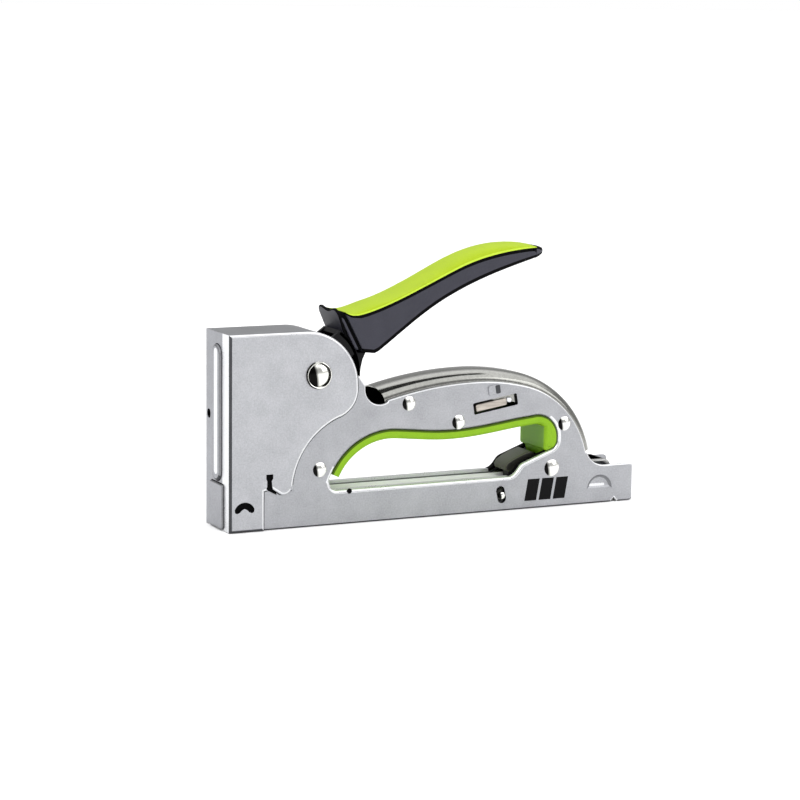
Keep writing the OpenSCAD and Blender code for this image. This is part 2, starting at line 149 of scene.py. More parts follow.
# Lower rear corner of the hand loop
LOOP_CORNER = (140.8, 28.5)
LOOP_CORNER_R = 4.5


def plate_outline():
    """Outline of a side plate."""
    return (
        [(FRONT_X + COVER_T + 0.1, 0), (FRONT_X + COVER_T + 0.1, 77)]
        + arc(WING_C, WING_R - 1.5, 106, 25)
        + arc((62.8, 54.8), 6.8, 170, 298, 14)
        + arc(FRONT_C, FRONT_R, 104.9, 90, 20)
        + arc(MIDDLE_C, MIDDLE_R, 89, BEND_AT, 12)
        + arc(REAR_C, REAR_R, 73, 13, 22)
        + arc((168.5, 25.6), 9.6, 205, 270, 12)
        + arc((TAIL_X - 1.5, 14.5), 1.5, 90, 0, 6)
        + arc((TAIL_X - 1.5, 1.5), 1.5, 0, -90, 6)
        + [(174.8, 0), (173.2, 1.7), (171.6, 0)]
    )


def loop_top(t):
    """Upper boundary of the hand loop, t inside the plates' edge."""
    return (
        arc((68, 8), 29.3 - t, 160, 90, 24)
        + curve(moved([(70, 37.2), (78, 36.6), (86, 35.3), (94.3, 35.3)], (0, -t)))
        + curve(moved([(94.3, 35.3), (106, 35.3), (117, 37.2), (127, 38.5)], (0, -t)))
        + arc((135.5, 29.5), 9.8 - t * 0.85, 102, 0, 20)
    )


def loop_outline(t):
    """Whole outline of the hand loop, t inside the plates' edge."""
    return (
        loop_top(t)
        + arc(LOOP_CORNER, LOOP_CORNER_R - t, 0, -69.6, 10)
        + curve(moved([(129.5, 19.5), (126.5, 18.4), (126.5, 14), (121.5, 14)], (-0.5 * t, 0.87 * t)), 10)
        + arc((44.2, 17.5), 3.5 - t, 270, 175, 10)
    )


def wing_outline():
    """Outline of the nose cover's side wings."""
    return (
        [(FRONT_X, 0), (FRONT_X, NOSE_H)]
        + arc(WING_C, WING_R, 90, 2, 36)
        + arc((40.5, 55.4), 12, -4, -69, 18)
        + arc((56, 14), 32.3, 110.6, 178, 36)
        + arc((20, 17.7), 3.7, -10, -112, 12)
        + [(15.1, 16.6), (11.5, 15.9), (11.5, 0)]
    )


def circle(centre, radius, steps=32):
    """A closed circle of points."""
    return arc(centre, radius, 0, 360 * (steps - 1) / steps, steps - 1)


def rounded_box(width, height, radius, steps=5):
    """A rounded rectangle about the origin."""
    out = []
    for k, (sx, sy) in enumerate([(1, 1), (-1, 1), (-1, -1), (1, -1)]):
        centre = (sx * (width / 2 - radius), sy * (height / 2 - radius))
        out += arc(centre, radius, 90 * k, 90 * k + 90, steps)
    return out


def area(points):
    """Signed area, positive when the points run anticlockwise."""
    return 0.5 * sum(p[0] * q[1] - q[0] * p[1] for p, q in zip(points, points[1:] + points[:1]))


def wound(points, anticlockwise):
    """The points in the asked-for direction, without repeated ones."""
    clean = [p for i, p in enumerate(points) if math.dist(p, points[i - 1]) > 0.01]
    return clean if (area(clean) > 0) == anticlockwise else clean[::-1]


def shifted(points, d):
    """A closed outline moved by d to its left."""
    out = []
    n = len(points)
    for i in range(n):
        a, b, c = points[i - 1], points[i], points[(i + 1) % n]
        u, v = math.dist(a, b), math.dist(b, c)
        n1 = (-(b[1] - a[1]) / u, (b[0] - a[0]) / u)
        n2 = (-(c[1] - b[1]) / v, (c[0] - b[0]) / v)
        k = max(0.35, 1 + n1[0] * n2[0] + n1[1] * n2[1])
        out.append((b[0] + d * (n1[0] + n2[0]) / k, b[1] + d * (n1[1] + n2[1]) / k))
    return out


def fillet(radius, face, sign, steps=4):
    """(inset, height) pairs of a round edge that leaves a face at the given height."""
    out = []
    for i in range(steps + 1):
        a = math.radians(90 * i / steps)
        out.append((radius * (1 - math.sin(a)), face - sign * radius * (1 - math.cos(a))))
    return out


def edge(face, back, r_face=0.3, r_back=0.1, steps=3, back_steps=2):
    """Profile of an edge that is rounded at both faces, from the face to the back."""
    sign = 1 if face > back else -1
    return fillet(r_face, face, sign, steps) + fillet(r_back, back, -sign, back_steps)[::-1]


# ---------------------------------------------------------------- mesh building

class Shape:
    """Vertices and faces in millimetres, gathered into one object."""

    def __init__(self):
        self.verts = []
        self.faces = []
        self.tones = []

    def add(self, verts, faces, tones=0):
        """Adds points and the faces between them. A tone is the number of a face's material."""
        base = len(self.verts)
        self.verts += [tuple(v) for v in verts]
        self.faces += [tuple(base + i for i in f) for f in faces]
        self.tones += [tones] * len(faces) if isinstance(tones, int) else tones

    def rings(self, rings, tone=0):
        """Skins a list of equal rings of points and closes both ends.
        tone is a number, or a function of the place round the ring."""
        n = len(rings[0])
        faces, tones = [], []
        for i in range(len(rings) - 1):
            a, b = i * n, (i + 1) * n
            for j in range(n):
                k = (j + 1) % n
                faces.append((a + j, a + k, b + k, b + j))
                tones.append(tone(j) if callable(tone) else tone)
        faces.append(tuple(range(n))[::-1])
        faces.append(tuple((len(rings) - 1) * n + j for j in range(n)))
        tones += [0 if callable(tone) else tone] * 2
        self.add([p for r in rings for p in r], faces, tones)

    def sheet(self, outer, profile, holes=(), pockets=(), place=None, rim=None, tone=0):
        """A flat sheet: an outline with holes, each with its own (inset, height) edge profile.
        A pocket is an outline whose profile ends in a floor. place turns (x, z, height) to a point.
        rim is the tone of the outer profile, and a hole or pocket may bring its own: a number, or a
        function of the profile's step and the place along the outline."""
        place = place or (lambda x, z, h: (x, h, z))
        loops = [(wound(outer, True), profile, False)]
        loops += [(wound(h[0], False), h[1], False) for h in holes]
        loops += [(wound(h[0], False), h[1], True) for h in pockets]
        walls = [tone if rim is None else rim] + [h[2] if len(h) > 2 else tone for h in (*holes, *pockets)]
        verts, faces, front, back, tones = [], [], [], [], []
        for (points, prof, pocket), paint in zip(loops, walls):
            n = len(points)
            start = len(verts)
            for d, h in prof:
                verts += [place(x, z, h) for x, z in shifted(points, d)]
            for r in range(len(prof) - 1):
                for j in range(n):
                    k = (j + 1) % n
                    a = start + r * n
                    faces.append((a + j, a + k, a + n + k, a + n + j))
                    middle = [(u + v) / 2 for u, v in zip(points[j], points[k])]
                    tones.append(paint(r, middle) if callable(paint) else paint)
            front.append((start, shifted(points, prof[0][0])))
            end = (start + (len(prof) - 1) * n, shifted(points, prof[-1][0]))
            if pocket:
                faces += self.fill([end])
            else:
                back.append(end)
            tones += [tone] * (len(faces) - len(tones))
        faces += self.fill(front) + self.fill(back)
        tones += [tone] * (len(faces) - len(tones))
        self.add(verts, faces, tones)

    @staticmethod
    def fill(loops):
        """Triangles of a region with holes."""
        index = [s + i for s, pts in loops for i in range(len(pts))]
        tris = tessellate_polygon([[Vector((x, z, 0)) for x, z in pts] for _, pts in loops])
        return [tuple(index[i] for i in t) for t in tris]

    def lathe(self, centre, axis, profile, steps=40, tone=0):
        """Turns (radius, along) pairs about an axis through the centre."""
        axis = Vector(axis).normalized()
        u = axis.orthogonal().normalized()
        v = axis.cross(u)
        rings = []
        for r, h in profile:
            ring = []
            for j in range(steps):
                a = math.tau * j / steps
                ring.append(Vector(centre) + axis * h + (u * math.cos(a) + v * math.sin(a)) * r)
            rings.append(ring)
        self.rings(rings, tone=tone)

    def box(self, low, high, bevel=0.3, tone=0):
        """A box with rounded long edges and softened ends."""
        w, d = high[0] - low[0], high[1] - low[1]
        centre = ((low[0] + high[0]) / 2, (low[1] + high[1]) / 2)
        outline = moved(rounded_box(w, d, min(bevel, w / 2.1, d / 2.1), 3), centre)
        self.sheet(outline, edge(high[2], low[2], bevel, bevel), place=lambda x, y, h: (x, y, h), tone=tone)

    def coil(self, start, axis, mean_r, wire_r, turns, length, steps=28, sides=10):
        """A helical spring with closed ends."""
        axis = Vector(axis).normalized()
        u = axis.orthogonal().normalized()
        v = axis.cross(u)
        n = int(turns * steps)
        rings = []
        for i in range(n + 1):
            a = math.tau * turns * i / n
            out = u * math.cos(a) + v * math.sin(a)
            mid = Vector(start) + axis * (wire_r + (length - 2 * wire_r) * i / n) + out * mean_r
            ring = []
            for j in range(sides):
                b = math.tau * j / sides
                ring.append(mid + out * wire_r * math.cos(b) + axis * wire_r * math.sin(b))
            rings.append(ring)
        self.rings(rings)

    def mirrored(self):
        """The same shape on the other side of the middle plane."""
        other = Shape()
        other.verts = [(x, -y, z) for x, y, z in self.verts]
        other.faces = [f[::-1] for f in self.faces]
        other.tones = list(self.tones)
        return other

    def make(self, name, finish, body, nodes=(), slot=None, sharp=35, weighted=True, cutters=()):
        """Turns the shape into an object that rides on a body and stands for CAD nodes."""
        finishes = finish if isinstance(finish, tuple) else (finish,)
        obj = self.plain(name, finishes)
        for cutter in cutters:
            tool = cutter.plain(name + "_cutter", finishes)
            mod = obj.modifiers.new("cut", "BOOLEAN")
            mod.object = tool
            mod.operation = "DIFFERENCE"
            mod.solver = "EXACT"
            graph = bpy.context.evaluated_depsgraph_get()
            mesh = bpy.data.meshes.new_from_object(obj.evaluated_get(graph))
            obj.modifiers.clear()
            obj.data = mesh
            bpy.data.objects.remove(tool)
        mesh = obj.data
        mesh.name = name
        mesh.shade_smooth()
        mesh.set_sharp_from_angle(angle=math.radians(sharp))
        if weighted:
            mod = obj.modifiers.new("normals", "WEIGHTED_NORMAL")
            mod.keep_sharp = True
            mod.weight = 60
        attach(obj, body)
        if nodes:
            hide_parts(*nodes)
        return obj

    def plain(self, name, finishes):
        """The bare object, with its materials."""
        mesh = bpy.data.meshes.new(name)
        mesh.from_pydata([tuple(c * MM for c in v) for v in self.verts], [], self.faces)
        for finish in finishes:
            mesh.materials.append(finish)
        mesh.polygons.foreach_set("material_index", self.tones)
        bm = bmesh.new()
        bm.from_mesh(mesh)
        bmesh.ops.recalc_face_normals(bm, faces=bm.faces)
        bm.to_mesh(mesh)
        bm.free()
        obj = bpy.data.objects.new(name, mesh)
        bpy.context.scene.collection.objects.link(obj)
        return obj


# ---------------------------------------------------------------- materials

def linear(r, g, b):
    """An 8-bit screen colour as linear light."""
    out = []
    for c in (r, g, b):
        c = c / 255
        out.append(c / 12.92 if c <= 0.04045 else ((c + 0.055) / 1.055) ** 2.4)
    return (*out, 1)


def material(name, dark, light, metallic, rough, grain, bump, stretch=(1, 1, 1), gloss=0.5, lean=()):
    """A surface whose 8-bit colour and roughness vary with a fine grain and a broad mottling.
    lean lists (place, grey) stops of painted shade and highlight that colour a round head by how far its
    faces lean to the rear."""
    mat = bpy.data.materials.new(name)
    mat.use_nodes = True
    nodes, links = mat.node_tree.nodes, mat.node_tree.links
    shader = nodes["Principled BSDF"]
    shader.inputs["Metallic"].default_value = metallic
    shader.inputs["Specular IOR Level"].default_value = gloss
    place = nodes.new("ShaderNodeTexCoord")
    scale = nodes.new("ShaderNodeMapping")
    scale.inputs["Scale"].default_value = stretch
    links.new(place.outputs["Object"], scale.inputs["Vector"])
    fine = nodes.new("ShaderNodeTexNoise")
    fine.inputs["Scale"].default_value = grain
    fine.inputs["Detail"].default_value = 4
    fine.inputs["Roughness"].default_value = 0.6
    links.new(scale.outputs["Vector"], fine.inputs["Vector"])
    broad = nodes.new("ShaderNodeTexNoise")
    broad.inputs["Scale"].default_value = grain * 0.08
    broad.inputs["Detail"].default_value = 3
    links.new(place.outputs["Object"], broad.inputs["Vector"])
    blend = nodes.new("ShaderNodeMix")
    blend.data_type = "FLOAT"
    blend.inputs["Factor"].default_value = 0.35
    links.new(fine.outputs["Fac"], blend.inputs["A"])
    links.new(broad.outputs["Fac"], blend.inputs["B"])
    spread = nodes.new("ShaderNodeMapRange")
    spread.inputs["From Min"].default_value = 0.3
    spread.inputs["From Max"].default_value = 0.7
    links.new(blend.outputs["Result"], spread.inputs["Value"])
    ramp = nodes.new("ShaderNodeMix")
    ramp.data_type = "RGBA"
    ramp.inputs["A"].default_value = linear(*dark)
    ramp.inputs["B"].default_value = linear(*light)
    links.new(spread.outputs["Result"], ramp.inputs["Factor"])
    colour = ramp.outputs["Result"]
    if lean:
        colour = painted_lean_shade(nodes, links, colour, lean)
    links.new(colour, shader.inputs["Base Color"])
    dimple_painted_highlight = nodes.new("ShaderNodeMapRange")
    dimple_painted_highlight.inputs["To Min"].default_value = rough[0]
    dimple_painted_highlight.inputs["To Max"].default_value = rough[1]
    links.new(spread.outputs["Result"], dimple_painted_highlight.inputs["Value"])
    links.new(dimple_painted_highlight.outputs["Result"], shader.inputs["Roughness"])
    relief = nodes.new("ShaderNodeBump")
    relief.inputs["Strength"].default_value = bump
    relief.inputs["Distance"].default_value = 0.0002
    links.new(fine.outputs["Fac"], relief.inputs["Height"])
    links.new(relief.outputs["Normal"], shader.inputs["Normal"])
    return mat


def painted_lean_shade(nodes, links, colour, stops):
    """Multiplies a colour by a grey of painted shade and highlight that follows how far the surface leans up
    and to the rear.
    """
    shape = nodes.new("ShaderNodeNewGeometry")
    along_rear = nodes.new("ShaderNodeVectorMath")
    along_rear.operation = "DOT_PRODUCT"
    along_rear.inputs[1].default_value = (0.98, 0, 0.17)
    links.new(shape.outputs["Normal"], along_rear.inputs[0])
    unit = nodes.new("ShaderNodeMapRange")
    unit.inputs["From Min"].default_value = -1
    links.new(along_rear.outputs["Value"], unit.inputs["Value"])
    ramp = nodes.new("ShaderNodeValToRGB")
    marks = ramp.color_ramp.elements
    marks[0].position, marks[0].color = stops[0][0], linear(*[stops[0][1]] * 3)
    marks[1].position, marks[1].color = stops[-1][0], linear(*[stops[-1][1]] * 3)
    for at, grey in stops[1:-1]:
        marks.new(at).color = linear(grey, grey, grey)
    links.new(unit.outputs["Result"], ramp.inputs["Fac"])
    both = nodes.new("ShaderNodeMix")
    both.data_type = "RGBA"
    both.blend_type = "MULTIPLY"
    both.inputs["Factor"].default_value = 1
    links.new(colour, both.inputs["A"])
    links.new(ramp.outputs["Color"], both.inputs["B"])
    return both.outputs["Result"]


SATIN = material("satin_plate", (150, 151, 155), (184, 185, 189), 0.85, (0.4, 0.5), 1500, 0.15)
NOSE = material("satin_nose", (160, 161, 165), (194, 195, 199), 0.85, (0.4, 0.5), 1500, 0.15)
# Painted shade: a darker copy of the nose steel for the nose's front face and its rib.
FRONT = material("front_painted_shade", (140, 141, 146), (172, 173, 178), 0.85, (0.4, 0.5), 1500, 0.15)
# Painted shade: a darker copy of the steel for the nose's top, the rib's flanks and the pad's edge, the
# dimple's arch, a strip above the channel and the tail cap's hollow.
PAINTED_SHADE_STEEL = material("painted_shade_steel", (116, 117, 120), (140, 141, 144), 0.85, (0.4, 0.5), 1500, 0.15)
# Painted highlight: near-white steel on rounded edges and folds, the nose's near front strip, the rib's
# middle, the dimple's floor and the window pin.
PAINTED_HIGHLIGHT = material("painted_highlight_edge", (216, 217, 220), (232, 233, 235), 0.8, (0.25, 0.35), 1500, 0.08)
SHADE = material("shaded_edge", (58, 59, 62), (76, 77, 80), 0.3, (0.5, 0.6), 1500, 0.08, gloss=0.2)
# Painted light: the channel is near white and not metallic so that it reads bright where the handle shades
# it.
CHANNEL = material("channel_painted_light", (240, 238, 246), (250, 248, 253), 0.0, (0.3, 0.4), 900, 0.1)
SPINE = material("polished_spine", (138, 138, 134), (160, 160, 156), 0.95, (0.12, 0.18), 700, 0.03)
CHROME = material("chrome", (232, 232, 230), (246, 246, 244), 1.0, (0.08, 0.14), 600, 0.01)
# Painted shade and reflection: each domed head gets a dark crescent, a white middle and a greyer rim by how
# its faces lean.
RIVET = material("rivet_painted_shade", (240, 240, 236), (252, 252, 248), 1.0, (0.15, 0.22), 600, 0.01,
                 lean=((0.0, 30), (0.34, 20), (0.42, 255), (0.72, 255), (0.8, 150)))
# Painted shade and reflection on the pivot head, set the same way by how its faces lean.
PIVOT_STEEL = material("pivot_painted_shade", (236, 236, 230), (250, 250, 244), 1.0, (0.15, 0.22), 600, 0.01,
                       lean=((0.0, 80), (0.3, 20), (0.42, 20), (0.48, 255), (0.7, 255), (0.76, 90)))
STEEL = material("zinc_steel", (150, 150, 150), (188, 188, 186), 0.9, (0.3, 0.42), 900, 0.1)
BRUSHED = material("brushed_slide", (120, 112, 104), (216, 208, 198), 0.8, (0.25, 0.4), 1500, 0.2,
                   stretch=(0.06, 1, 1))
WIRE = material("spring_wire", (96, 97, 100), (130, 131, 134), 0.9, (0.25, 0.35), 900, 0.05)
BLACK_STEEL = material("black_steel", (7, 7, 9), (16, 16, 19), 0.0, (0.35, 0.45), 800, 0.05, gloss=0.15)
LIME = material("lime_liner", (122, 166, 22), (138, 182, 32), 0.0, (0.4, 0.5), 1600, 0.1, gloss=0.2)
# Painted shade: a darker copy of the liner's green for its inner web and the tongue's rim.
LIME_PAINTED_SHADE = material("lime_painted_web_shade", (92, 138, 18), (108, 152, 28), 0.0, (0.4, 0.5), 1600, 0.1, gloss=0.2)
# Painted shade: a dark copy of the liner's green along the band's rounded sides.
LIME_PAINTED_EDGE_SHADE = material("lime_painted_edge_shade", (58, 84, 12), (76, 100, 22), 0.0, (0.45, 0.55), 1600, 0.1, gloss=0.1)
LIME_TOP = material("lime_inlay", (152, 176, 24), (166, 190, 36), 0.0, (0.45, 0.55), 1600, 0.12, gloss=0.12)
# Painted highlight: a lighter copy of the inlay's green along its lower edges.
LIME_PAINTED_HIGHLIGHT = material("lime_painted_rim_highlight", (178, 206, 50), (192, 220, 64), 0.0, (0.4, 0.5), 1600, 0.12, gloss=0.2)
CHARCOAL = material("charcoal_plastic", (44, 44, 54), (56, 56, 66), 0.0, (0.42, 0.52), 2000, 0.15, gloss=0.3)
BLACK = material("black_plastic", (26, 26, 22), (42, 42, 36), 0.0, (0.4, 0.5), 1800, 0.15)
# Painted light: a lighter olive for the lit upper faces of the black latch.
LATCH_PAINTED_LIGHT = material("latch_painted_light_olive", (58, 60, 46), (76, 78, 62), 0.0, (0.4, 0.5), 1800, 0.15)
# Dark joints, and painted black shade in gaps, hollows, hole walls and under edges.
DARK_JOINT_AND_PAINTED_SHADE = material("dark_joint_and_painted_shade", (4, 4, 5), (10, 10, 11), 0.0, (0.7, 0.8), 1500, 0.05, gloss=0.05)
BADGE = material("badge_print", (6, 6, 7), (14, 14, 15), 0.0, (0.5, 0.6), 1500, 0.05, gloss=0.1)
RUBBER = material("black_rubber", (22, 22, 22), (34, 34, 34), 0.0, (0.6, 0.7), 1200, 0.1)


# ---------------------------------------------------------------- body

def window_place(points):
    """Points about the window's middle, tilted with it."""
    return turned(points, WINDOW_MID, WINDOW_TILT)


def fold_tone(r, at):
    """Tone of the loop's folded edge: a painted highlight where it turns to the light, low down and at the
    rear, and painted black shade beside the latch.
    """
    if r < 5:
        return 1 if at[1] < 24 or at[0] > 141 else 0
    if 118.5 < at[0] < 147 and at[1] < 24:
        return 2
    return 1 if at[1] < 16 else 0


def plate_tone(r, at):
    """Tone of a plate's outer edge: painted shade below, a painted highlight elsewhere."""
    return 0 if r > 3 else 3 if at[1] < 0.8 else 1


def cut_tone(r, at):
    """Tone of a cut edge: painted black shade below its rounded rim."""
    return 2 if r else 0


def dimple_tone(r, at):
    """Tone of the dimple's wall: painted shade round the arch, plain along its foot."""
    return 4 if at[1] > 6.6 else 0


def side_plate(side):
    """One pressed plate, with the loop's edge folded inward. side is -1 on the photographed side."""
    s = Shape()
    face, back = PLATE_HALF, PLATE_IN
    fold = fillet(1.5, face, 1, 5) + [(0, LIP_IN), (1.2, LIP_IN), (1.2, 10.2), (1.6, back)]
    cut = edge(face, back, 0.25, 0.05, 2)
    holes = [(loop_outline(0), fold, fold_tone)]
    holes.append((window_place(rounded_box(20.5, 4.7, 0.5, 3)), cut, cut_tone))
    holes.append((circle(PIVOT, PIVOT_SHANK + HOLE_PLAY), cut))
    holes += [(circle(p, RIVET_SHANK + HOLE_PLAY, 20), cut) for p in RIVETS]
    holes.append((circle(LATCH_PIVOT, LATCH_SHANK + HOLE_PLAY, 20), cut))
    oval = arc((0, OVAL_LENGTH), OVAL_R, 0, 180, 12) + arc((0, 0), OVAL_R, 180, 360, 12)
    holes.append((turned(oval, (STUD[0] - 0.35, STUD[1] - 1.1), OVAL_TILT), cut, cut_tone))
    dimple = arc((166, 6), 5.7, 3, 177, 22)
    floor = [(0.35, face), (0.12, face - 0.1), (0, face - 0.3), (-0.4, face - 0.6), (-0.9, face - 0.8)]
    pockets = [(dimple, floor, dimple_tone)]
    s.sheet(plate_outline(), edge(face, back, 0.5, 0.1, 4), holes, pockets, rim=plate_tone)
    # Painted highlight: a bright band on the dimple's floor.
    dimple_painted_highlight = rounded_box(7.4, 1.3, 0.5, 3)
    s.sheet(moved(dimple_painted_highlight, (165.0, 7.6)), [(0, face - 0.76), (0, face - 0.84)], tone=1)
    tab = window_place(moved(rounded_box(5.4, 4, 0.6, 3), (0.1, 6.1)))
    s.sheet(tab, edge(face + 0.7, face - 0.3, 0.35, 0.05, 3))
    # Painted shade on the right half of the tab above the window.
    tab_painted_shade = window_place(moved(rounded_box(2.2, 3.6, 0.5, 3), (1.6, 6.1)))
    s.sheet(tab_painted_shade, [(0, face + 0.72), (0, face + 0.6)], tone=3)
    s.box((16, 7.0, 0), (163, 10.8, 1.2), 0.15)
    # Painted shade: a thin darker strip at the lip's inner edge, above the channel.
    s.box((47, 7.0, 11.9), (117, 8.1, 12.72), 0.05, tone=4)
    s.lathe((49.2, face - 0.2, 13.3), (0, 1, 0), [(1.1, 0), (1.1, 0.24), (0.02, 0.24)], 20, tone=2)
    if side < 0:
        s = s.mirrored()
    name = "near_plate" if side < 0 else "far_plate"
    node = "left_side_plate" if side < 0 else "right_side_plate"
    return s.make(name, (SATIN, PAINTED_HIGHLIGHT, DARK_JOINT_AND_PAINTED_SHADE, SHADE, PAINTED_SHADE_STEEL), "body", [node], "plated_steel")


def nose_slots():
    """The two slots that are cut through the nose cover."""
    notch = [(12.2, 16.9), (13.4, 16.2), (15.2, 15.2), (16.9, 14.3), (16.6, 15.4), (15.3, 16.6), (14.8, 17.6),
             (14.6, 20.2), (15.2, 21.0), (15.2, 22.8), (12.2, 22.8), (12.2, 21.0), (12.6, 20.2), (12.6, 17.9)]
    smile = arc((2.9, 7.6), 4.6, 22, 158, 14)
    smile += [(-1.2, 8.2), (-0.3, 7.7), (0.8, 8.1), (1.8, 9.1), (2.9, 9.6)]
    smile += [(4, 9.1), (5, 8.1), (6.1, 7.7), (7, 8.2)]
    return notch, smile


def cover_tone(r, at):
    """Tone of the nose cover round its outline, with painted light and shade. Steps 5 to 7 cross its width,
    the others are its folds.
    """
    # Painted shade on the bottom edge, the front corners, the front face and the top; painted highlights on
    # the front's near strip and on the other folds.
    if at[1] < 0.8:
        return 3
    if at[0] < FRONT_X + 0.1:
        return 3 if r < 4 or r > 7 else {5: 5, 6: 5, 7: 1}.get(r, 0)
    if 5 <= r <= 7:
        return 4 if at[1] > 60 else 0
    return 1


def nose_cover():
    """The sheet that wraps the nose, with rounded folds and edges."""
    s = Shape()
    wrap = fillet(1, COVER_HALF, 1, 5) + [(0, 5.3), (0, -5.3)] + fillet(1, -COVER_HALF, -1, 5)[::-1]
    s.sheet(wing_outline(), wrap, rim=cover_tone)
    # The walls left by the cutters take painted black shade inside the cover, its slots and its front hole.
    inner = Shape()
    front, top = FRONT_X + COVER_T, NOSE_H - COVER_T
    cavity = [(front, -5), (front, top), (36, top), (36, 90), (70, 90), (70, -5)]
    inner.sheet(cavity, [(0, COVER_IN), (0, -COVER_IN)], tone=2)
    cutters = [inner]
    for outline in (*nose_slots(), circle(PIVOT, PIVOT_SHANK + 0.05, 40)):
        hole = Shape()
        hole.sheet(outline, [(0, 20), (0, -20)], tone=2)
        cutters.append(hole)
    drill = Shape()
    drill.lathe((-8, *FRONT_HOLE), (1, 0, 0), [(FRONT_HOLE_R, 0), (FRONT_HOLE_R, 10)], 24, tone=2)
    cutters.append(drill)
    finishes = (NOSE, PAINTED_HIGHLIGHT, DARK_JOINT_AND_PAINTED_SHADE, SHADE, PAINTED_SHADE_STEEL, FRONT)
    return s.make("nose_shell", finishes, "body", ["nose_cover"], "nose_steel", cutters=cutters, sharp=30)


def on_front(y, z, h):
    """Turns a place on the nose's front to a point."""
    return (h, y, z)


RIB = moved(rounded_box(9, 55, 4.4, 10), (0, 47))
PAD = moved(rounded_box(14, 18, 1.2, 5), (0, 9.6))


def rib_tone(r, at):
    """Tone of the rib's edge: painted shade, mid on the flanks and the upper end, darkest at the lower end.
    """
    return 0 if r > 4 else 3 if at[1] < 22 else 1


def front_rib():
    """The pressed rib down the nose with a painted highlight down its middle, and the wider pad below it."""
    s = Shape()
    s.sheet(RIB, edge(FRONT_X - 0.97, FRONT_X + 0.2, 0.8, 0.05, 5), place=on_front, rim=rib_tone)
    # The pad's edge takes painted shade all round.
    s.sheet(PAD, edge(FRONT_X - 0.9, FRONT_X + 0.2, 0.4, 0.05, 4), place=on_front, rim=1)
    # Painted highlight: a bright band down the rib's middle.
    middle = moved(rounded_box(3.6, 51, 1.7, 6), (-0.4, 47.6))
    s.sheet(middle, [(0, FRONT_X - 1), (0, FRONT_X - 0.9)], place=on_front, tone=2)
    return s.make("nose_rib", (FRONT, PAINTED_SHADE_STEEL, PAINTED_HIGHLIGHT, SHADE), "body", slot="nose_steel")


def wing_edge():
    """The part of the nose cover's outline that lies on the side plates."""
    return [p for p in wing_outline() if p[0] > 11.4 and (p[1] < 64 or p[0] < 12)]


def painted_shade_lines():
    """Painted shade: dark lines where sheets meet, round the rib and pad and beside the wings, and dark
    floors behind the slots.
    """
    s = Shape()
    for outline in (RIB, PAD):
        grown = shifted(wound(outline, True), -0.35)
        grown = [(y, max(0.3, z)) for y, z in grown]
        s.sheet(grown, [(0, FRONT_X - 0.03), (0, FRONT_X + 0.1)], place=on_front)
    path = wing_edge()
    outer = [(x, max(0, z)) for x, z in shifted(wound(wing_outline(), True), -0.4)]
    beyond = [p for p in outer if p[0] > 11.8 and p[1] < 64.2]
    runs_on = math.dist(path[-1], beyond[0]) < math.dist(path[-1], beyond[-1])
    strip = path + (beyond if runs_on else beyond[::-1])
    for side in (-1, 1):
        low, high = PLATE_HALF - 0.05, PLATE_HALF + 0.03
        s.sheet(strip, [(0, side * high), (0, side * low)])
        for slot in nose_slots():
            grown = shifted(wound(slot, True), -0.1)
            s.sheet(grown, [(0, side * (COVER_IN + 0.3)), (0, side * (COVER_IN + 0.05))])
    return s.make("nose_painted_shade_lines", DARK_JOINT_AND_PAINTED_SHADE, "body", slot="nose_steel")


def badge():
    """A plain printed badge at the tail, without any lettering."""
    s = Shape()
    for low, high in ((130.6, 136.2), (137.4, 143), (144.2, 149.8)):
        bar = [(low - 0.8, 3.2), (high - 0.8, 3.2), (high + 0.8, 12.4), (low + 0.8, 12.4)]
        for side in (-1, 1):
            s.sheet(bar, [(0, side * (PLATE_HALF + 0.02)), (0, side * (PLATE_HALF - 0.02))])
    return s.make("tail_badge", BADGE, "body", slot="plated_steel")


def handle_spine():
    """The rounded strip along the handle's back."""
    s = Shape()
    path = []
    stretches = (
        (FRONT_C, FRONT_R, SPINE_START, 90, 40),
        (MIDDLE_C, MIDDLE_R, 89, BEND_AT, 14),
        (REAR_C, REAR_R, 73, 13, 40),
    )
    for centre, radius, first, last, steps in stretches:
        for i in range(steps + 1):
            a = math.radians(first + (last - first) * i / steps)
            path.append((centre, radius, a))
    section = []
    for i in range(25):
        a = math.radians(-90 + 180 * i / 24)
        flat = math.copysign(abs(math.sin(a)) ** 0.8, math.sin(a))
        section.append((SPINE_HALF * flat, CROWN_H * math.cos(a) ** 0.9 if i not in (0, 24) else 0))
    section = [(-SPINE_HALF, -7.5)] + section + [(SPINE_HALF, -7.5)]

    def hollow(wall):
        inside = [(y * (1 - wall / SPINE_HALF), v - (wall if v > -7 else 0)) for y, v in section]
        return section + inside[::-1]

    rings = []
    for centre, radius, a in path:
        ring = []
        for y, v in hollow(1 if rings else 0.4):
            r = radius + v
            ring.append((centre[0] + r * math.cos(a), y, centre[1] + r * math.sin(a)))
        rings.append(ring)
    n = len(section)
    # The hollow's inside takes painted black shade.
    s.rings(rings, tone=lambda j: 1 if n <= j < 2 * n - 1 else 0)
    return s.make("spine_strip", (SPINE, DARK_JOINT_AND_PAINTED_SHADE), "body", ["handle_spine"], "spine_steel", sharp=40)


